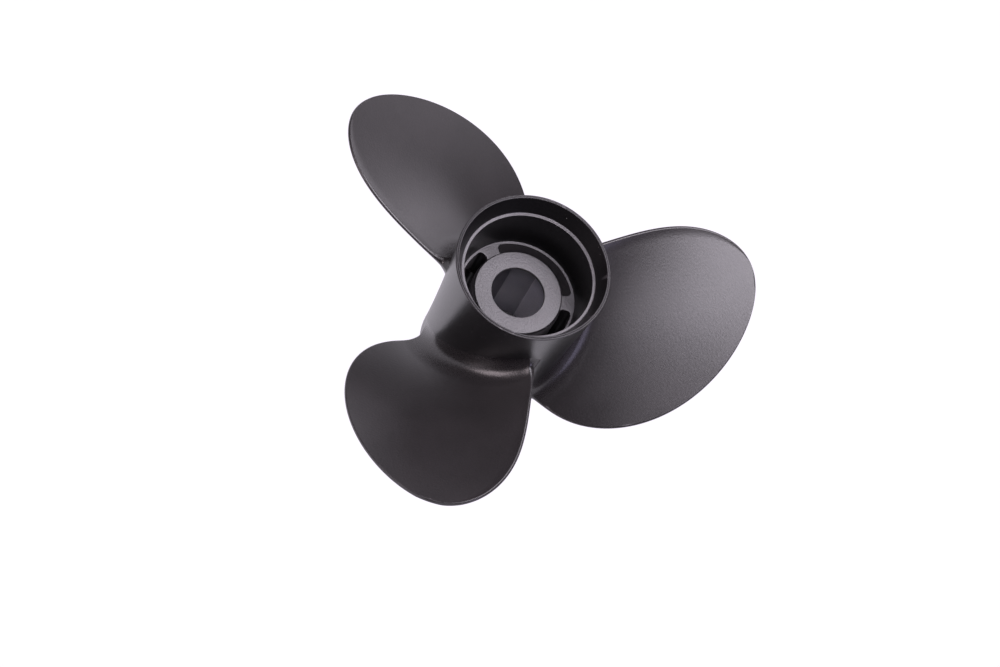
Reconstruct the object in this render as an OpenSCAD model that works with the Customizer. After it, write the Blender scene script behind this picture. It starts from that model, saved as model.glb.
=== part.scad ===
// Three-blade right-hand boat propeller with a through-hub exhaust passage and a splined drive kit.
// Millimetres. The hub axis is Z, aft is +Z, and the origin is the centre of the front face.

/* [Propeller] */

// Tip circle diameter
propeller_d = 356; // [300:1:400]
// Advance in one turn
pitch = 305; // [200:1:420]
// Backward lean of the blades, degrees
rake = 16; // [0:1:22]

/* [Barrel] */

// Length of the outer barrel
barrel_l = 140; // [130:1:170]
// Outer diameter of the flared aft rim
rim_d = 111.6; // [106:0.2:124]
// Outer diameter at the front face
front_d = 97.8; // [94:0.2:104]
// Width of the aft rim edge
rim_edge = 2.6; // [2:0.1:4]
// Depth of the first ledge below the rim
ledge_1_depth = 13.9; // [8:0.1:20]
// Depth of the second ledge below the rim
ledge_2_depth = 49.4; // [40:0.1:60]
// Radius of the exhaust passage's outer wall
passage_r = 41.1; // [39:0.1:43]
// Depth of the front counterbore
front_step = 12; // [6:1:20]

/* [Inner hub] */

// Outer radius of the inner hub
inner_hub_r = 33; // [31:0.1:35]
// Depth of its aft face below the rim
boss_depth = 43; // [36:0.5:46]
// Radius of the round lip at the aft end
lip_r = 19.32; // [18:0.01:20]
// Thickness of that lip
lip_t = 2.6; // [2:0.1:4]
// Width across the flats of the eight-sided drive pocket
pocket_af = 44.4; // [42:0.1:46]
// Half angle of one rib, degrees
rib_half = 9; // [6:0.5:12]
// Fillet where the ribs meet the walls
rib_fillet = 3; // [2:0.1:3.5]

/* [Blades] */

// Thickest section at the root
root_t = 12; // [9:0.5:16]
// Thickest section at the tip
tip_t = 3.6; // [2.5:0.1:5]
// Thickness of the blade edges
edge_t = 3; // [1.5:0.1:3.5]
// Height of the fillet at the barrel
fillet_h = 12; // [4:0.5:14]
// Trailing edge cup
cup = 0.8; // [0:0.1:3]

/* [Drive kit] */

// Gap between the bush and the pocket flats
bush_gap = 0.2; // [0.15:0.05:0.4]
// Length of the bush
bush_l = 18.8; // [14:0.1:40]
// Outer radius of the splined sleeve
sleeve_r = 15.5; // [14.8:0.1:16.5]
// Length of the sleeve behind the retaining ring
sleeve_end = 1.8; // [1.5:0.1:6]
// Teeth of the spline
spline_teeth = 15; // [12:1:18]
// Radius over the spline's tooth tips
spline_tip_r = 11.2; // [10.6:0.1:11.8]
// Radius over the spline's roots
spline_root_r = 12.7; // [12.3:0.1:13]
// Radius of the plain pilot land
pilot_r = 13; // [13:0.1:13.4]
// Length of the pilot land
pilot_l = 6; // [4:0.5:8]
// Thickness of the retaining ring
ring_t = 1.2; // [1:0.1:1.6]

/* [Hidden] */

$fn = 96;

rim_r = rim_d / 2;
front_r = front_d / 2;
tip_r = propeller_d / 2;
hub_r = 55.8;
boss_z = barrel_l - boss_depth;
rib_top = barrel_l - ledge_2_depth;
ledge_1_z = barrel_l - ledge_1_depth;
hub_front = 3;
rib_front = front_step + 2;
rib_turn = 3.3;
pocket_turn = 1.3;

// Where the blade's reference line meets the hub, and the depth it reaches into the wall.
line_z = 53.6;
root_r = 46;

// Drive kit, drawn at the front end of the pocket.
washer_z = 2.7;
washer_t = 2.3;
bush_z = 5.2;
ring_z = bush_z + bush_l + 1;
sleeve_l = ring_z + ring_t + sleeve_end;

// Rows from the root to the tip, and columns across the chord.
rows = 26;
cols = 14;
last_t = 0.999;

// Barrel radius at height z: nearly straight in front, flaring towards the rim.
function barrel_r(z) = front_r + (rim_r - front_r) * pow(z / barrel_l, 1.6);

function polar(r, a) = [r * cos(a), r * sin(a)];

// Blade radius along the span, t = 0 at the hub and 1 at the tip.
function span_r(t) = hub_r + (tip_r - hub_r) * t;

// Angle of the middle of the chord, degrees.
function mid_angle(t) = -15 * t + 44 * t * t - 15 * t * t * t;

// Half of the chord, measured along the arc.
function half_chord(t) =
    (45.9 + 83.8 * t - 52.4 * t * t - 16.9 * t * t * t) * sqrt(1 - t * t * t * t);

// Thickest section at t.
function section_t(t) = tip_t + (root_t - tip_t) * pow(1 - t, 1.5);

// Extra thickness of one side where the blade runs into the barrel,
// fuller on the pressure side and smaller towards both edges.
function root_flare(r, c, side) =
    fillet_h * pow(max(0, 1 - (r - 50) / 18), 2)
    * (side == 1 ? 1 - 0.35 * pow(abs(c), 3) : 0.35 - 0.25 * pow(abs(c), 3));

// Span position of row i: closer together towards the tip.
function row_t(i) =
    let (first_t = (root_r - hub_r) / (tip_r - hub_r))
    first_t + (last_t - first_t) * sin(90 * i / rows);

// Chord position of column j, -1 at the leading edge and 1 at the trailing edge.
function col_c(j) = -cos(180 * j / cols);

// Angle, height and forward normal of the pressure face.
function face_angle(t, c) =
    let (u = max(t, 0))
    mid_angle(u) + c * half_chord(u) / span_r(u) * 180 / PI;
function face_z(t, c) =
    line_z + pitch * face_angle(t, c) / 360 + tan(rake) * (span_r(t) - hub_r)
    + cup * pow(max(0, (c - 0.88) / 0.12), 2);
function face_normal(r, a) =
    let (
        lead = pitch / (2 * PI),
        lean = tan(rake),
        size = sqrt(lean * lean * r * r + lead * lead + r * r)
    )
    [
        (-lean * r * cos(a) + lead * sin(a)) / size,
        (-lean * r * sin(a) - lead * cos(a)) / size,
        r / size
    ];

// Point on the blade: side 1 is the pressure face, side 0 the suction face.
// The edges are centred on the helical surface.
function blade_point(t, c, side) =
    let (
        r = span_r(t),
        a = face_angle(t, c),
        n = face_normal(r, a),
        flare = root_flare(r, c, side),
        thick = edge_t + (section_t(max(t, 0)) - edge_t) * (1 - c * c),
        move = edge_t / 2 + (side == 1 ? flare : -thick - flare),
        p = [r * cos(a), r * sin(a), face_z(t, c)]
    )
    p + move * n;

module barrel() {
    steps = 10;
    outer = [for (i = [0 : steps]) [barrel_r(barrel_l * i / steps), barrel_l * i / steps]];
    inner = [
        [rim_r - rim_edge, barrel_l],
        [48.4, ledge_1_z],
        [46.2, ledge_1_z],
        [passage_r + 2, rib_top],
        [passage_r, rib_top],
        [passage_r, front_step],
        [45.5, front_step],
        [45.5, 0]
    ];
    color([0.16, 0.16, 0.17])
    rotate_extrude()
        polygon(concat(outer, inner));
}

module pocket_outline(af) {
    intersection() {
        rotate(22.5 + pocket_turn)
            circle(r = af / 2 / cos(22.5), $fn = 8);
        circle(r = af / 2 + 1.5);
    }
}

module inner_hub() {
    color([0.3, 0.3, 0.32])
    difference() {
        rotate_extrude()
            polygon([
                [lip_r, hub_front],
                [inner_hub_r - 1.5, hub_front],
                [inner_hub_r, hub_front + 1.5],
                [inner_hub_r, rib_top],
                [32.2, boss_z - 1],
                [31.4, boss_z],
                [lip_r, boss_z]
            ]);
        translate([0, 0, hub_front - 1])
            linear_extrude(boss_z - lip_t - hub_front + 1)
                pocket_outline(pocket_af);
    }
}

// Rounded end of the exhaust passage beside a rib.
module passage_end() {
    out_r = passage_r - rib_fillet;
    in_r = inner_hub_r + rib_fillet;
    out_a = rib_half + asin(rib_fillet / out_r);
    in_a = rib_half + asin(rib_fillet / in_r);
    polygon([
        polar(sqrt(in_r * in_r - rib_fillet * rib_fillet), rib_half),
        polar(sqrt(out_r * out_r - rib_fillet * rib_fillet), rib_half),
        polar(out_r, out_a),
        polar(60, out_a),
        polar(60, 30),
        polar(20, 30),
        polar(20, in_a),
        polar(in_r, in_a)
    ]);
    translate(polar(out_r, out_a))
        circle(r = rib_fillet);
    translate(polar(in_r, in_a))
        circle(r = rib_fillet);
}

// Rib with its fillets; both ends sink into the walls.
module rib_outline() {
    turns = [-16, -8, 0, 8, 16];
    difference() {
        polygon(concat(
            [for (a = turns) polar(passage_r + 1.3, a)],
            [for (a = turns) polar(inner_hub_r - 1, -a)]
        ));
        passage_end();
        mirror([0, 1, 0])
            passage_end();
    }
}

module rib(turn) {
    color([0.24, 0.25, 0.27])
    rotate(turn + rib_turn)
        translate([0, 0, rib_front])
            linear_extrude(rib_top - rib_front)
                rib_outline();
}

module blade(turn) {
    ring = 2 * (cols + 1);
    points = [
        for (i = [0 : rows])
            for (k = [0 : ring - 1])
                blade_point(
                    row_t(i),
                    col_c(k <= cols ? k : ring - 1 - k),
                    k <= cols ? 1 : 0
                )
    ];
    walls = [
        for (i = [0 : rows - 1])
            for (k = [0 : ring - 1])
                let (
                    a = i * ring + k,
                    b = i * ring + (k + 1) % ring,
                    c = b + ring,
                    d = a + ring
                )
                for (f = [[a, b, c], [a, c, d]])
                    f
    ];
    root_cap = [
        for (j = [0 : cols - 1])
            for (f = [[j, ring - 1 - j, j + 1], [j + 1, ring - 1 - j, ring - 2 - j]])
                f
    ];
    top = rows * ring;
    tip_cap = [
        for (j = [0 : cols - 1])
            for (f = [
                [top + j, top + j + 1, top + ring - 1 - j],
                [top + j + 1, top + ring - 2 - j, top + ring - 1 - j]
            ])
                f
    ];
    color([0.2, 0.2, 0.22])
    rotate(turn)
        polyhedron(points, concat(walls, root_cap, tip_cap));
}

module rib_1() {
    rib(0);
}

module rib_2() {
    rib(-120);
}

module rib_3() {
    rib(120);
}

module blade_1() {
    blade(0);
}

module blade_2() {
    blade(-120);
}

module blade_3() {
    blade(120);
}

module drive_bush() {
    color([0.1, 0.1, 0.1])
    difference() {
        translate([0, 0, bush_z])
            linear_extrude(bush_l)
                intersection() {
                    rotate(22.5 + pocket_turn)
                        circle(r = (pocket_af / 2 - bush_gap) / cos(22.5), $fn = 8);
                    circle(r = pocket_af / 2 + 1);
                }
        translate([0, 0, bush_z - 1])
            cylinder(r = sleeve_r + 0.05, h = bush_l + 2);
    }
}

module spline_sleeve() {
    groove_w = 0.9;
    color([0.78, 0.6, 0.3])
    difference() {
        rotate_extrude()
            polygon([
                [spline_tip_r, 0],
                [19.5, 0],
                [19.5, washer_z - 0.1],
                [sleeve_r, washer_z - 0.1],
                [sleeve_r, ring_z - 0.1],
                [sleeve_r - groove_w, ring_z - 0.1],
                [sleeve_r - groove_w, ring_z + ring_t + 0.1],
                [sleeve_r, ring_z + ring_t + 0.1],
                [sleeve_r, sleeve_l - 0.8],
                [sleeve_r - 0.8, sleeve_l],
                [spline_tip_r, sleeve_l]
            ]);
        translate([0, 0, -1])
            cylinder(r = pilot_r, h = pilot_l + 1);
        for (i = [0 : spline_teeth - 1])
            rotate(i * 360 / spline_teeth)
                translate([0, 0, pilot_l - 1])
                    linear_extrude(sleeve_l)
                        polygon([
                            [spline_tip_r - 1, -1.55],
                            [spline_root_r, -1.1],
                            [spline_root_r, 1.1],
                            [spline_tip_r - 1, 1.55]
                        ]);
    }
}

module thrust_washer() {
    color([0.7, 0.7, 0.72])
    translate([0, 0, washer_z])
        difference() {
            cylinder(r = 20.5, h = washer_t);
            translate([0, 0, -1])
                cylinder(r = sleeve_r + 0.15, h = washer_t + 2);
        }
}

module retaining_ring() {
    inner_r = sleeve_r - 0.8;
    outer_r = 17.4;
    color([0.6, 0.6, 0.62])
    translate([0, 0, ring_z])
        linear_extrude(ring_t)
            difference() {
                union() {
                    circle(r = outer_r);
                    for (side = [-1, 1])
                        rotate(side * 14)
                            translate([outer_r - 0.2, 0])
                                circle(r = 1.6, $fn = 48);
                }
                circle(r = inner_r);
                polygon([[0, 0], polar(30, -8), polar(30, 8)]);
            }
}

barrel();
inner_hub();
rib_1();
rib_2();
rib_3();
blade_1();
blade_2();
blade_3();
drive_bush();
spline_sleeve();
thrust_washer();
retaining_ring();
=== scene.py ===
import math

import bpy
import numpy as np
from mathutils import Matrix, Vector


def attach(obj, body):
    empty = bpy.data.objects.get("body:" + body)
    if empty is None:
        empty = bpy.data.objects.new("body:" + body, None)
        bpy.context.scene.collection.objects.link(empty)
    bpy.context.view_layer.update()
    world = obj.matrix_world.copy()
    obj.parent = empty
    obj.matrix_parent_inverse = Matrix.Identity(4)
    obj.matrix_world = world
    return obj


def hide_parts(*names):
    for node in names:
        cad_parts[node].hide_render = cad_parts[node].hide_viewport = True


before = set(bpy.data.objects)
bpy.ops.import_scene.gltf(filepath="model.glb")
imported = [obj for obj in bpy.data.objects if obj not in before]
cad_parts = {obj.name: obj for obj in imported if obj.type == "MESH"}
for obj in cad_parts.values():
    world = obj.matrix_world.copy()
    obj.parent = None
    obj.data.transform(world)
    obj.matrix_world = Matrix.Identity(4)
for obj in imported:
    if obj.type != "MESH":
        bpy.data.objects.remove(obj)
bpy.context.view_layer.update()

MM = 0.001

# Driving sizes of the part, in millimetres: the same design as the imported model.
# Blades
PITCH = 305.0
RAKE = math.tan(math.radians(16))
LEAD = PITCH / (2 * math.pi)
TIP_R = 178.0
SPAN_START_R = 55.8
LINE_Z = 53.6
ROOT_T = 12.0
TIP_T = 3.6
EDGE_T = 3.0
CUP = 0.8
# Barrel
BARREL_L = 140.0
FRONT_R = 48.9
RIM_R = 55.8
RIM_IN_R = 53.2
LEDGE_Z = 126.1
LEDGE_OUT_R = 48.4
LEDGE_IN_R = 46.2
SHELF_R = 43.1
PASSAGE_R = 41.1
STEP_R = 45.5
STEP_Z = 12.0
# Inner hub, with its eight-sided pocket
HUB_R = 33.0
HUB_FRONT_Z = 3.0
BOSS_Z = 97.0
LIP_R = 19.32
LIP_Z = BOSS_Z - 2.6
POCKET_R = 22.2
POCKET_CORNER = 1.5
POCKET_TURN = 1.3
# Ribs
RIB_FOOT = 14.0
RIB_TOP = 90.6
RIB_HALF = 9.0
RIB_FILLET = 3.0
RIB_TURN = 3.3

# Ribs and blades come in threes: number and turn in degrees.
THIRDS = ((1, 0), (2, -120), (3, 120))


# ------------------------------------------------------------------ mesh helpers

def barrel_r(z):
    """Outer radius of the barrel at height z."""
    return FRONT_R + (RIM_R - FRONT_R) * np.clip(z / BARREL_L, 0, 1) ** 1.6


def rounded(points, steps=6):
    """A closed outline from (x, y) or (x, y, radius) corners, each radius turned into an arc."""
    out = []
    n = len(points)
    for i in range(n):
        p = np.array(points[i][:2], float)
        radius = points[i][2] if len(points[i]) > 2 else 0.0
        if radius <= 0:
            out.append(p)
            continue
        a = np.array(points[i - 1][:2], float) - p
        b = np.array(points[(i + 1) % n][:2], float) - p
        a_len, b_len = np.linalg.norm(a), np.linalg.norm(b)
        a, b = a / a_len, b / b_len
        half = math.acos(max(-1.0, min(1.0, float(a @ b)))) / 2
        cut = radius / math.tan(half)
        limit = 0.49 * min(a_len, b_len)
        if cut > limit:
            cut, radius = limit, limit * math.tan(half)
        mid = a + b
        centre = p + mid / np.linalg.norm(mid) * radius / math.sin(half)
        start, end = p + a * cut - centre, p + b * cut - centre
        turn = math.pi - 2 * half
        side = math.copysign(1.0, start[0] * end[1] - start[1] * end[0])
        for k in range(steps + 1):
            w = side * turn * k / steps
            out.append(centre + np.array([
                start[0] * math.cos(w) - start[1] * math.sin(w),
                start[0] * math.sin(w) + start[1] * math.cos(w),
            ]))
    return np.array(out)


def add_mesh(name, shape, coats, body, replaces, sharp, coat_of=None):
    """A smooth piece from (verts, faces) in millimetres. Edges above sharp degrees stay sharp.

    coat_of tells which of the coats a face has. Without it, every face has the first.
    """
    verts, faces = shape
    mesh = bpy.data.meshes.new(name)
    mesh.from_pydata([tuple(float(c) * MM for c in v) for v in verts], [], faces)
    mesh.update()
    mesh.validate()
    obj = bpy.data.objects.new(name, mesh)
    bpy.context.scene.collection.objects.link(obj)
    mesh.shade_smooth()
    mesh.set_sharp_from_angle(angle=math.radians(sharp))
    for coat in coats:
        mesh.materials.append(coat)
    if coat_of:
        for face in mesh.polygons:
            face.material_index = coats.index(coat_of(face))
    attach(obj, body)
    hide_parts(replaces)


def face_place(face):
    """Distance of a face from the axis and its height, in millimetres."""
    return math.hypot(face.center.x, face.center.y) / MM, face.center.z / MM


def faces_axis(face):
    return face.normal.x * face.center.x + face.normal.y * face.center.y < 0


def grid_faces(rows, cols, close_rows=False, flip=False):
    """Quads of a grid whose columns close on themselves."""
    faces = []
    for i in range(rows if close_rows else rows - 1):
        a = i * cols
        b = ((i + 1) % rows) * cols
        for j in range(cols):
            k = (j + 1) % cols
            quad = (a + j, a + k, b + k, b + j)
            faces.append(quad[::-1] if flip else quad)
    return faces


def lathe(outline, turns=256):
    """A closed outline of (radius, height) turned about the axis."""
    angles = np.linspace(0, 2 * math.pi, turns, endpoint=False)
    verts = []
    for r, z in outline:
        for a in angles:
            verts.append((r * math.cos(a), r * math.sin(a), z))
    return verts, grid_faces(len(outline), turns, close_rows=True)


# ------------------------------------------------------------------ shader helpers

def nodes_of(name):
    material = bpy.data.materials.new(name)
    material.use_nodes = True
    tree = material.node_tree
    shader = tree.nodes["Principled BSDF"]
    return material, tree, shader


def link(tree, a, b):
    tree.links.new(a, b)


def noise(tree, coords, scale, detail, rough=0.5):
    node = tree.nodes.new("ShaderNodeTexNoise")
    node.inputs["Scale"].default_value = scale
    node.inputs["Detail"].default_value = detail
    node.inputs["Roughness"].default_value = rough
    link(tree, coords, node.inputs["Vector"])
    return node.outputs["Fac"]


def remap(tree, value, low, high, to_low, to_high):
    node = tree.nodes.new("ShaderNodeMapRange")
    node.inputs["From Min"].default_value = low
    node.inputs["From Max"].default_value = high
    node.inputs["To Min"].default_value = to_low
    node.inputs["To Max"].default_value = to_high
    link(tree, value, node.inputs["Value"])
    return node.outputs["Result"]


def combine(tree, operation, a, b):
    node = tree.nodes.new("ShaderNodeMath")
    node.operation = operation
    link(tree, a, node.inputs[0])
    link(tree, b, node.inputs[1])
    return node.outputs[0]


def mix_colour(tree, factor, a, b):
    """A mix of two colours, each one a tuple or another node's output."""
    node = tree.nodes.new("ShaderNodeMix")
    node.data_type = "RGBA"
    link(tree, factor, node.inputs["Factor"])
    for socket, value in ((node.inputs[6], a), (node.inputs[7], b)):
        if isinstance(value, tuple):
            socket.default_value = (*value, 1.0)
        else:
            link(tree, value, socket)
    return node.outputs[2]


def bump(tree, height, strength, distance, normal=None):
    node = tree.nodes.new("ShaderNodeBump")
    node.inputs["Strength"].default_value = strength
    node.inputs["Distance"].default_value = distance
    link(tree, height, node.inputs["Height"])
    if normal is not None:
        link(tree, normal, node.inputs["Normal"])
    return node.outputs["Normal"]


def scaled(colour, share):
    return tuple(c * share for c in colour)


# ------------------------------------------------------------------ black coats

DUST = (0.22, 0.21, 0.21)
WORN = (0.16, 0.15, 0.16)


def dust_specks(tree, coords, tone):
    """Small pale specks that lie in patches."""
    dots = tree.nodes.new("ShaderNodeTexVoronoi")
    dots.inputs["Scale"].default_value = 210.0
    link(tree, coords, dots.inputs["Vector"])
    near = remap(tree, dots.outputs["Distance"], 0.04, 0.08, 1.0, 0.0)
    patches = remap(tree, noise(tree, coords, 37.0, 1.0), 0.50, 0.56, 0.0, 0.9)
    return mix_colour(tree, combine(tree, "MULTIPLY", near, patches), tone, DUST)


def worn_edges(tree, tone, wear):
    """Paler along sharp convex edges."""
    convex = tree.nodes.new("ShaderNodeNewGeometry").outputs["Pointiness"]
    return mix_colour(tree, remap(tree, convex, 0.54, 0.64, 0.0, wear), tone, WORN)


def smoother_root(tree, coords, rough_map, root_gloss):
    """Roughness lowered by root_gloss beside the barrel, fading out over 12 mm."""
    flat = tree.nodes.new("ShaderNodeVectorMath")
    flat.operation = "MULTIPLY"
    flat.inputs[1].default_value = (1, 1, 0)
    link(tree, coords, flat.inputs[0])
    around = tree.nodes.new("ShaderNodeVectorMath")
    around.operation = "LENGTH"
    link(tree, flat.outputs["Vector"], around.inputs[0])
    less = remap(tree, around.outputs["Value"], 58 * MM, 70 * MM, root_gloss, 0.0)
    return combine(tree, "SUBTRACT", rough_map, less)


def powder_coat(name, colour, rough, peel, grain, specks=True, wear=0.5, root_gloss=None, specular=0.5):
    """Satin coat: fine grain, orange peel, faint mottling, worn edges and a few dust specks."""
    material, tree, shader = nodes_of(name)
    coords = tree.nodes.new("ShaderNodeTexCoord").outputs["Object"]
    mottle = noise(tree, coords, 22.0, 4.0)
    fine = noise(tree, coords, 1500.0, 2.0, 0.6)
    peel_map = noise(tree, coords, 650.0, 2.0)
    mottle_share = remap(tree, mottle, 0.35, 0.65, 0.0, 1.0)
    tone = mix_colour(tree, mottle_share, scaled(colour, 0.82), scaled(colour, 1.2))
    tone = mix_colour(tree, remap(tree, fine, 0.3, 0.75, 0.0, 0.35), tone, scaled(colour, 1.9))
    if specks:
        tone = dust_specks(tree, coords, tone)
    link(tree, worn_edges(tree, tone, wear), shader.inputs["Base Color"])
    rough_map = remap(tree, fine, 0.3, 0.7, rough - 0.03, rough + 0.04)
    if root_gloss:
        rough_map = smoother_root(tree, coords, rough_map, root_gloss)
    link(tree, rough_map, shader.inputs["Roughness"])
    normal = bump(tree, fine, grain, 0.2 * MM)
    normal = bump(tree, peel_map, peel, 0.6 * MM, normal)
    link(tree, normal, shader.inputs["Normal"])
    shader.inputs["Specular IOR Level"].default_value = specular
    return material


HUB_COAT = powder_coat("hub_coat", (0.008, 0.0075, 0.008), 0.32, 0.12, 0.25)
RIM_COAT = powder_coat("rim_coat", (0.010, 0.009, 0.010), 0.34, 0.12, 0.25,
                       specks=False, wear=0.4, specular=0.3)
# Painted light: the ledges facing along the axis are painted paler than the hub's black, for the light
# they catch.
LEDGE_LIT_COAT = powder_coat("ledge_painted_light_coat", (0.065, 0.062, 0.065), 0.40, 0.25, 0.4, specks=False)
# Painted shade: the bore's walls above the ribs are painted at half the hub's black, for the shade
# inside the barrel.
INNER_SHADED_COAT = powder_coat("inner_wall_painted_shade_coat", (0.004, 0.0037, 0.004), 0.34, 0.10, 0.25, specular=0.35)
# Painted light: the passages' walls are painted about five times paler than the hub's black for the
# light that reaches them; their rougher finish is their own.
PASSAGE_LIT_COAT = powder_coat("passage_painted_light_coat", (0.045, 0.041, 0.044), 0.42, 0.10, 0.35)
SIDE_COAT = powder_coat("passage_side_coat", (0.010, 0.0095, 0.010), 0.30, 0.10, 0.25)
# Painted light: the faces that look along the axis carry the hub's black made about eight times paler,
# for the light they catch; their coarser grain and peel are their own.
LIT_FACE_COAT = powder_coat("hub_face_painted_light_coat", (0.065, 0.063, 0.065), 0.40, 0.65, 0.9, specks=False)
# Painted light and shade: the pocket's flats are painted pale bluish grey for the light and reflection
# that reach them, one flat darker as painted shade and one paler as brighter painted light.
POCKET_LIT_COAT = powder_coat("pocket_painted_light", (0.160, 0.158, 0.182), 0.45, 0.1, 0.3, wear=1.0)
POCKET_SHADED_COAT = powder_coat("pocket_painted_shade", (0.060, 0.058, 0.068), 0.45, 0.1, 0.3, wear=1.0)
POCKET_BRIGHT_COAT = powder_coat("pocket_painted_bright_light", (0.360, 0.350, 0.390), 0.50, 0.1, 0.3, wear=1.0)
BLADE_COAT = powder_coat("blade_coat", (0.0135, 0.0120, 0.0125), 0.32, 0.10, 0.08,
                         specks=False, root_gloss=0.045)


# ------------------------------------------------------------------ rubber, brass and steel

def plain(name, colour, metallic, rough, grain_scale, grain, stretch=None):
    """Rubber, brass or steel with its own grain."""
    material, tree, shader = nodes_of(name)
    coords = tree.nodes.new("ShaderNodeTexCoord").outputs["Object"]
    if stretch:
        mapping = tree.nodes.new("ShaderNodeMapping")
        mapping.inputs["Scale"].default_value = stretch
        link(tree, coords, mapping.inputs["Vector"])
        coords = mapping.outputs["Vector"]
    fine = noise(tree, coords, grain_scale, 3.0)
    cloud = noise(tree, coords, 60.0, 3.0)
    cloud_share = remap(tree, cloud, 0.35, 0.65, 0.0, 1.0)
    tone = mix_colour(tree, cloud_share, scaled(colour, 0.85), scaled(colour, 1.12))
    link(tree, tone, shader.inputs["Base Color"])
    link(tree, remap(tree, fine, 0.3, 0.7, rough - 0.06, rough + 0.08), shader.inputs["Roughness"])
    link(tree, bump(tree, fine, grain, 0.2 * MM), shader.inputs["Normal"])
    shader.inputs["Metallic"].default_value = metallic
    return material


RUBBER = plain("bush_rubber_look", (0.022, 0.022, 0.023), 0.0, 0.62, 900.0, 0.35)
BRASS = plain("sleeve_brass_look", (0.30, 0.25, 0.17), 1.0, 0.45, 700.0, 0.12, (1, 1, 6))
STEEL = plain("washer_steel_look", (0.55, 0.55, 0.57), 1.0, 0.28, 800.0, 0.12)


# ------------------------------------------------------------------ barrel

def barrel_outline():
    """Corners as (radius, height, corner radius), from the front counterbore round to its floor."""
    groove_r, groove_half, shoulder_z = 54.35, 0.15, BARREL_L - 0.3
    front = [(STEP_R, 0.0, 0.6), (FRONT_R, 0.0, 1.0)]
    flare = [(float(barrel_r(z)), float(z)) for z in np.linspace(2, BARREL_L - 2.5, 60)]
    rim = [
        (RIM_R, shoulder_z, 1.1),
        (groove_r + groove_half, shoulder_z, 0.15),
        (groove_r, BARREL_L - 0.75, 0.1),
        (groove_r - groove_half, BARREL_L, 0.15),
        (RIM_IN_R, BARREL_L, 0.45),
    ]
    inside = [
        (LEDGE_OUT_R, LEDGE_Z, 0.9),
        (LEDGE_IN_R, LEDGE_Z, 0.5),
        (SHELF_R, RIB_TOP, 0.7),
        (PASSAGE_R, RIB_TOP, 0.45),
        (PASSAGE_R, STEP_Z, 0.5),
        (STEP_R, STEP_Z, 0.6),
    ]
    return rounded(front + flare + rim + inside)


def barrel_coat(face):
    around, height = face_place(face)
    if height > BARREL_L - 1.5 and around > RIM_IN_R - 0.4:
        return RIM_COAT
    # Ledges facing along the axis get the paler coat of painted light.
    if around < LEDGE_OUT_R + 0.6 and height > RIB_TOP - 0.6 and face.normal.z > 0.75:
        return LEDGE_LIT_COAT
    # The passages' walls get the paler coat of painted light.
    if around < PASSAGE_R + 0.2 and STEP_Z + 1 < height < RIB_TOP - 0.6:
        return PASSAGE_LIT_COAT
    # The walls inside the bore get the darker coat of painted shade.
    if height > RIB_TOP and faces_axis(face):
        return INNER_SHADED_COAT
    return HUB_COAT


add_mesh("barrel_finish", lathe(barrel_outline()),
         (HUB_COAT, INNER_SHADED_COAT, PASSAGE_LIT_COAT, LEDGE_LIT_COAT, RIM_COAT),
         "casting", "barrel", sharp=50, coat_of=barrel_coat)


# ------------------------------------------------------------------ inner hub

def octagon_r(inradius, angles, corner):
    """Radius of an eight-sided outline with its corners cut by a circle."""
    turn = math.radians(POCKET_TURN)
    side = (angles - turn + math.pi / 8) % (math.pi / 4) - math.pi / 8
    return np.minimum(inradius / np.cos(side), inradius + corner)


def inner_hub_mesh(turns=512):
    """Rings from the front face over the outside and the lip, then down the pocket."""
    angles = np.linspace(0, 2 * math.pi, turns, endpoint=False)
    pocket = octagon_r(POCKET_R, angles, POCKET_CORNER)
    # The corner at the ribs' top is there twice, so that smooth shading breaks at it.
    outer = rounded([
        (pocket.max() + 0.5, HUB_FRONT_Z),
        (HUB_R - 1.5, HUB_FRONT_Z, 0.4),
        (HUB_R, HUB_FRONT_Z + 1.5, 0.4),
        (HUB_R, RIB_TOP),
        (HUB_R, RIB_TOP),
        (HUB_R - 0.7, BOSS_Z - 1.2, 0.3),
        (HUB_R - 1.6, BOSS_Z, 0.55),
        (LIP_R, BOSS_Z, 0.5),
        (LIP_R, LIP_Z, 0.25),
    ], steps=5)
    rings = [(np.full(turns, r), z) for r, z in outer]
    rings.append(((LIP_R + pocket) / 2, LIP_Z))
    rings.append((pocket, LIP_Z - 0.1))
    rings += [(pocket, z) for z in np.linspace(LIP_Z - 0.6, HUB_FRONT_Z + 1.0, 24)]
    rings.append((pocket + 0.3, HUB_FRONT_Z + 0.2))
    verts = []
    for radii, z in rings:
        for a, r in zip(angles, radii):
            verts.append((r * math.cos(a), r * math.sin(a), z))
    return verts, grid_faces(len(rings), turns, close_rows=True)


def inner_hub_coat(face):
    """The pocket's flats are counted from the one at +X. All carry painted light; one is darker with
    painted shade and one paler with brighter painted light.
    """
    around, height = face_place(face)
    if around < POCKET_R + 1.6 and height < LIP_Z:
        angle = math.degrees(math.atan2(face.center.y, face.center.x))
        flat = round((angle - POCKET_TURN) / 45) % 8
        return {0: POCKET_SHADED_COAT, 6: POCKET_BRIGHT_COAT}.get(flat, POCKET_LIT_COAT)
    # The hub's outer sides stay black; its faces get the paler coat of painted light.
    if around > HUB_R - 1.7 and abs(face.normal.z) < 0.85:
        return SIDE_COAT
    return LIT_FACE_COAT


add_mesh("inner_hub_finish", inner_hub_mesh(),
         (LIT_FACE_COAT, POCKET_LIT_COAT, POCKET_SHADED_COAT, POCKET_BRIGHT_COAT, SIDE_COAT),
         "casting", "inner_hub", sharp=20, coat_of=inner_hub_coat)


# ------------------------------------------------------------------ ribs

def polar(r, degrees):
    return np.array([r * math.cos(math.radians(degrees)), r * math.sin(math.radians(degrees))])


def arc(centre, radius, start, end, steps=8):
    return [centre + polar(radius, start + (end - start) * k / steps) for k in range(steps + 1)]


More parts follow.
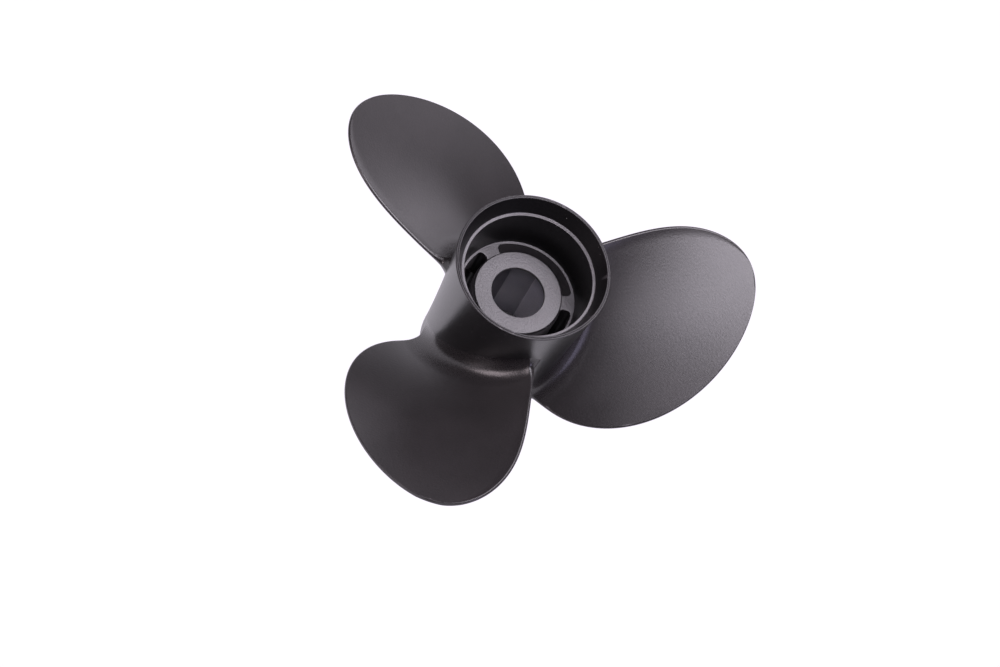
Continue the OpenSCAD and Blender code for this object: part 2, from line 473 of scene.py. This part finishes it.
def rib_outline():
    """One rib seen along the axis, counter-clockwise, both ends sunk into the walls."""
    out_r, in_r = PASSAGE_R - RIB_FILLET, HUB_R + RIB_FILLET
    out_a = RIB_HALF + math.degrees(math.asin(RIB_FILLET / out_r))
    in_a = RIB_HALF + math.degrees(math.asin(RIB_FILLET / in_r))
    upper = [polar(PASSAGE_R + 1.3, a) for a in np.linspace(0, out_a, 6)]
    upper += arc(polar(out_r, out_a), RIB_FILLET, out_a, RIB_HALF - 90)
    upper += arc(polar(in_r, in_a), RIB_FILLET, RIB_HALF - 90, in_a - 180)
    upper += [polar(HUB_R - 1.0, a) for a in np.linspace(in_a, 0, 6)]
    lower = [p * (1, -1) for p in upper[::-1]]
    return np.array(upper[1:-1] + [upper[-1]] + lower[1:-1] + [upper[0]])


def loop_normals(outline):
    """Outward normals of a counter-clockwise loop."""
    ahead = np.roll(outline, -1, axis=0) - np.roll(outline, 1, axis=0)
    ahead /= np.linalg.norm(ahead, axis=1)[:, None]
    return np.stack([ahead[:, 1], -ahead[:, 0]], axis=1)


def rib_mesh(turn, edge=0.7, steps=5):
    """A rib from its foot to its top, both rims rounded by edge."""
    outline = rib_outline()
    inward = -loop_normals(outline)
    top = RIB_TOP + 0.02
    bends = [math.pi / 2 * k / steps for k in range(steps + 1)]
    levels = [(edge * (1 - math.sin(w)), RIB_FOOT + edge * (1 - math.cos(w))) for w in bends]
    levels += [(edge * (1 - math.cos(w)), top - edge * (1 - math.sin(w))) for w in bends]
    c, s = math.cos(math.radians(turn)), math.sin(math.radians(turn))
    verts, count = [], len(outline)
    for inset, z in levels:
        for x, y in outline + inward * inset:
            verts.append((x * c - y * s, x * s + y * c, z))
    faces = grid_faces(len(levels), count)
    faces.append(tuple(range(count))[::-1])
    faces.append(tuple(range(len(verts) - count, len(verts))))
    return verts, faces


def rib_coat(face):
    # A rib's top gets the paler coat of painted light; its sides stay black.
    return SIDE_COAT if abs(face.normal.z) < 0.5 else LIT_FACE_COAT


for index, turn in THIRDS:
    add_mesh(f"rib_{index}_finish", rib_mesh(turn + RIB_TURN), (LIT_FACE_COAT, SIDE_COAT),
             "casting", f"rib_{index}", sharp=40, coat_of=rib_coat)


# ------------------------------------------------------------------ blades

FILLET = 18.0       # how far the root fillet reaches out along the blade
WALL_R = 51.0       # a round wall that the root is built on, before it follows the barrel's flare
FOLLOW_SPAN = 40.0  # distance from that wall over which the blade stops following the flare
TIP_ROUND = 1.2     # length of the rounding at the tip
ROOT_SINK = 1.2     # how deep the root ends under the barrel's surface
CUP_START = 0.88    # where the trailing edge cup starts, as a share of the half width


def mid_angle(t):
    """Angle of the blade's middle line, in radians, at share t of the span."""
    return np.radians(-15 * t + 44 * t ** 2 - 15 * t ** 3)


def half_chord(t):
    """Half of the blade's width at share t of the span."""
    return (45.9 + 83.8 * t - 52.4 * t ** 2 - 16.9 * t ** 3) * np.sqrt(np.clip(1 - t ** 4, 0, 1))


def section(width, thick, edge, face_points=56, edge_points=9):
    """A blade section: chord along x, pressure side up, both edges round. Also its outward normals."""
    edge = min(edge, 1.9 * width)
    flat = width - edge / 2
    x = -np.cos(np.linspace(0, math.pi, face_points)) * flat
    share = x / width
    cup_share = np.clip((share - CUP_START) / (1 - CUP_START), 0, 1)
    cup = CUP * cup_share ** 2 * min(1.0, width / 30)
    depth = edge + (thick - edge) * (1 - share ** 2)
    top = np.stack([x, cup], axis=1)
    low = np.stack([x, cup - depth], axis=1)[::-1]
    bend = np.linspace(math.pi / 2, -math.pi / 2, edge_points + 2)[1:-1]
    reach, rise = edge / 2 * np.cos(bend), edge / 2 * np.sin(bend)
    right = np.stack([flat + reach, cup[-1] - edge / 2 + rise], axis=1)
    left = np.stack([-flat - reach, -edge / 2 - rise], axis=1)
    loop = np.concatenate([top, right, low, left])
    return loop, -loop_normals(loop)


def blade_rows():
    """(radius, fillet growth) of each section: root end, fillet, blade and rounded tip."""
    rows = [(WALL_R - ROOT_SINK, growth) for growth in np.linspace(0.5, FILLET + 3.4, 7)]
    rows.append((WALL_R - 0.02, FILLET + 1.2))
    for k in range(25):
        w = math.pi / 2 * k / 24
        rows.append((WALL_R + FILLET * (1 - math.cos(w)), FILLET * (1 - math.sin(w))))
    start, end = WALL_R + FILLET, TIP_R - TIP_ROUND
    for k in range(1, 71):
        rows.append((start + (end - start) * math.sin(math.pi / 2 * k / 70), 0.0))
    for k in range(1, 9):
        rows.append((end + (TIP_ROUND - 0.02) * math.sin(math.pi / 2 * k / 8), 0.0))
    return rows


def blade_section(rho, growth):
    """Share of the span, then one section along the chord and up from the pitch surface.

    The fillet's growth swells the pressure side most, and less towards both edges.
    """
    t = max(0.0, (rho - SPAN_START_R) / (TIP_R - SPAN_START_R))
    width = float(half_chord(t))
    thick = TIP_T + (ROOT_T - TIP_T) * (1 - t) ** 1.5
    near = min(1.0, (TIP_R - rho) / TIP_ROUND)
    close = math.sqrt(max(1e-4, 1 - (1 - near) ** 2))
    loop, out = section(width, thick * close, EDGE_T * close)
    if close < 1:
        loop[:, 1] -= EDGE_T / 2 * (1 - close)
    share = np.clip(loop[:, 0] / width, -1, 1)
    sideways = np.where(share < 0, 0.10, 0.06)
    upper = 1 - np.where(share < 0, 0.15, 0.48) * np.abs(share) ** 3
    lower = 0.35 - 0.25 * np.abs(share) ** 3
    x = loop[:, 0] + growth * sideways * out[:, 0]
    y = loop[:, 1] + growth * np.where(out[:, 1] > 0, upper, lower) * out[:, 1] + EDGE_T / 2
    return t, x, y


def blade_row(rho, growth, turn):
    """Points of one section, wrapped onto the raked helicoid and fitted to the flared barrel."""
    t, x, y = blade_section(rho, growth)
    angle = mid_angle(t) + x / rho
    z = LINE_Z + LEAD * angle + RAKE * (rho - SPAN_START_R)
    size = math.sqrt((RAKE * rho) ** 2 + LEAD ** 2 + rho ** 2)
    nx = (-RAKE * rho * np.cos(angle) + LEAD * np.sin(angle)) / size
    ny = (-RAKE * rho * np.sin(angle) - LEAD * np.cos(angle)) / size
    nz = rho / size
    px, py, pz = rho * np.cos(angle) + y * nx, rho * np.sin(angle) + y * ny, z + y * nz
    radius = np.hypot(px, py)
    around = np.arctan2(py, px) + math.radians(turn)
    blend = min(1.0, max(0.0, (rho - WALL_R) / FOLLOW_SPAN))
    follow = 1 - blend * blend * (3 - 2 * blend)
    keep = 1.0 if rho < WALL_R else 1 - max(0.0, 1 - growth / FILLET) ** 1.5
    radius = radius * (1 - keep) + rho * keep
    radius = radius + (barrel_r(pz) - WALL_R) * follow
    return list(zip(radius * np.cos(around), radius * np.sin(around), pz))


def blade_mesh(turn):
    rows = [blade_row(rho, growth, turn) for rho, growth in blade_rows()]
    verts, count = [point for row in rows for point in row], len(rows[0])
    faces = grid_faces(len(rows), count, flip=True)
    faces.append(tuple(range(count)))
    faces.append(tuple(range(len(verts) - count, len(verts)))[::-1])
    return verts, faces


for index, turn in THIRDS:
    add_mesh(f"blade_{index}_finish", blade_mesh(turn), (BLADE_COAT,),
             "casting", f"blade_{index}", sharp=60)


# ------------------------------------------------------------------ drive kit keeps its CAD shapes

for node, material in (("drive_bush", RUBBER), ("spline_sleeve", BRASS),
                       ("thrust_washer", STEEL), ("retaining_ring", STEEL)):
    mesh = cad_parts[node].data
    mesh.materials.clear()
    mesh.materials.append(material)


# ------------------------------------------------------------------ camera and lights

CAMERA_PLACE = (-0.67753, 0.90419, 2.11860)
CAMERA_TARGET = (-0.00334, -0.00248, 0.03094)
CAMERA_ROLL = 31.427
CAMERA_LENS = 118.08

LIGHT_TARGET = Vector((0, 0, 0.07))
LIGHT_DISTANCE = 2.3
LIGHT_SIZE = 0.91
COOL = (0.96, 0.90, 1.0)
ROSE = (1.0, 0.86, 0.92)
BLUE = (0.74, 0.68, 1.0)


def aim(obj, place, target, roll=0.0):
    place, target = Vector(place), Vector(target)
    turn = (target - place).to_track_quat("-Z", "Y").to_matrix().to_4x4()
    obj.matrix_world = Matrix.Translation(place) @ turn @ Matrix.Rotation(math.radians(roll), 4, "Z")


camera = bpy.data.objects.new("camera", bpy.data.cameras.new("camera"))
bpy.context.scene.collection.objects.link(camera)
camera.data.sensor_width = 36.0
camera.data.lens = CAMERA_LENS
camera.data.clip_end = 50.0
aim(camera, CAMERA_PLACE, CAMERA_TARGET, CAMERA_ROLL)
bpy.context.scene.camera = camera
camera_axes = camera.matrix_world.to_3x3()


def softbox(name, direction, power, colour):
    """A square light facing the hub. direction is right, up and towards the camera."""
    data = bpy.data.lights.new(name, "AREA")
    data.shape = "RECTANGLE"
    data.size, data.size_y = LIGHT_SIZE, LIGHT_SIZE
    data.energy = power
    data.color = colour
    light = bpy.data.objects.new(name, data)
    bpy.context.scene.collection.objects.link(light)
    place = LIGHT_TARGET + (camera_axes @ Vector(direction)).normalized() * LIGHT_DISTANCE
    aim(light, place, LIGHT_TARGET)


# A fit of test renders to the photograph's shading chose these directions, out of points spread
# evenly over a sphere, and their powers in watts. A few powers were then changed.
for name, direction, power, tint in (
    ("key", (0.249, 0.325, 0.912), 33.8, COOL),
    ("key_right", (0.579, 0.211, 0.788), 17.6, COOL),
    ("key_top", (0.619, 0.522, 0.588), 23.1, COOL),
    ("front", (0.158, 0.0, 0.988), 10.3, COOL),
    ("front_left", (-0.2, 0.183, 0.962), 3.2, COOL),
    ("front_top", (-0.142, 0.528, 0.838), 5.0, COOL),
    ("right", (0.854, 0.449, 0.262), 3.3, COOL),
    ("top", (0.458, 0.8, 0.387), 18.7, COOL),
    ("top_back", (0.373, 0.917, -0.137), 4.6, COOL),
    ("right_back", (0.787, 0.559, -0.262), 5.7, COOL),
    ("high_back", (0.503, 0.73, -0.462), 5.1, COOL),
    ("far_back", (0.187, 0.725, -0.663), 4.9, COOL),
    ("left_back", (-0.26, 0.802, -0.538), 5.7, COOL),
    ("left", (-0.826, 0.034, 0.562), 20.5, ROSE),
    ("low_front", (0.598, -0.595, 0.538), 8.5, BLUE),
):
    softbox(name, direction, power, tint)


# ------------------------------------------------------------------ floor and background

FLOOR_HALF = 12.0
FLOOR_DROP = 0.0005
PATCH_R = 0.049
PATCH_SIDES = 64
FLOOR_GLOW = 1.12
# The patch's dimmer glow is a painted shadow under the hub.
HUB_SHADOW_GLOW = 0.35


def floor_look(name, glow):
    """A pale glowing sheet seen from above, clear from below."""
    material, tree, shader = nodes_of(name)
    shader.inputs["Base Color"].default_value = (0, 0, 0, 1)
    shader.inputs["Specular IOR Level"].default_value = 0.0
    shader.inputs["Emission Color"].default_value = (0.95, 0.90, 1.0, 1)
    shader.inputs["Emission Strength"].default_value = glow
    clear = tree.nodes.new("ShaderNodeBsdfTransparent")
    mix = tree.nodes.new("ShaderNodeMixShader")
    link(tree, tree.nodes.new("ShaderNodeNewGeometry").outputs["Backfacing"], mix.inputs[0])
    link(tree, shader.outputs[0], mix.inputs[1])
    link(tree, clear.outputs[0], mix.inputs[2])
    link(tree, mix.outputs[0], tree.nodes["Material Output"].inputs["Surface"])
    return material


def floor_shape():
    """A square with a round patch in the middle. Face 0 is the patch."""
    angles = np.linspace(0, 2 * math.pi, PATCH_SIDES, endpoint=False)
    inner = [(PATCH_R * math.cos(a), PATCH_R * math.sin(a)) for a in angles]
    outer = []
    for x, y in inner:
        reach = max(abs(x), abs(y))
        outer.append((x / reach * FLOOR_HALF, y / reach * FLOOR_HALF))
    verts = [(float(x), float(y), 0.0) for x, y in inner + outer]
    faces = [tuple(range(PATCH_SIDES))]
    for k in range(PATCH_SIDES):
        after = (k + 1) % PATCH_SIDES
        faces.append((k, PATCH_SIDES + k, PATCH_SIDES + after, after))
    return verts, faces


# The round patch covered by the hub glows less than the open floor: a painted shadow under the hub.
floor_verts, floor_faces = floor_shape()
floor_mesh = bpy.data.meshes.new("floor")
floor_mesh.from_pydata(floor_verts, [], floor_faces)
floor_mesh.materials.append(floor_look("floor_white", FLOOR_GLOW))
floor_mesh.materials.append(floor_look("floor_painted_hub_shadow", HUB_SHADOW_GLOW))
floor_mesh.polygons[0].material_index = 1
floor = bpy.data.objects.new("floor", floor_mesh)
floor.location.z = -FLOOR_DROP
bpy.context.scene.collection.objects.link(floor)

# The background is seen by the camera and lights nothing.
world = bpy.data.worlds.new("studio")
world.use_nodes = True
background = world.node_tree.nodes["Background"]
background.inputs["Color"].default_value = (0.93, 0.94, 0.96, 1)
seen = world.node_tree.nodes.new("ShaderNodeLightPath").outputs["Is Camera Ray"]
link(world.node_tree, seen, background.inputs["Strength"])
bpy.context.scene.world = world
bpy.context.scene.view_settings.view_transform = "Standard"
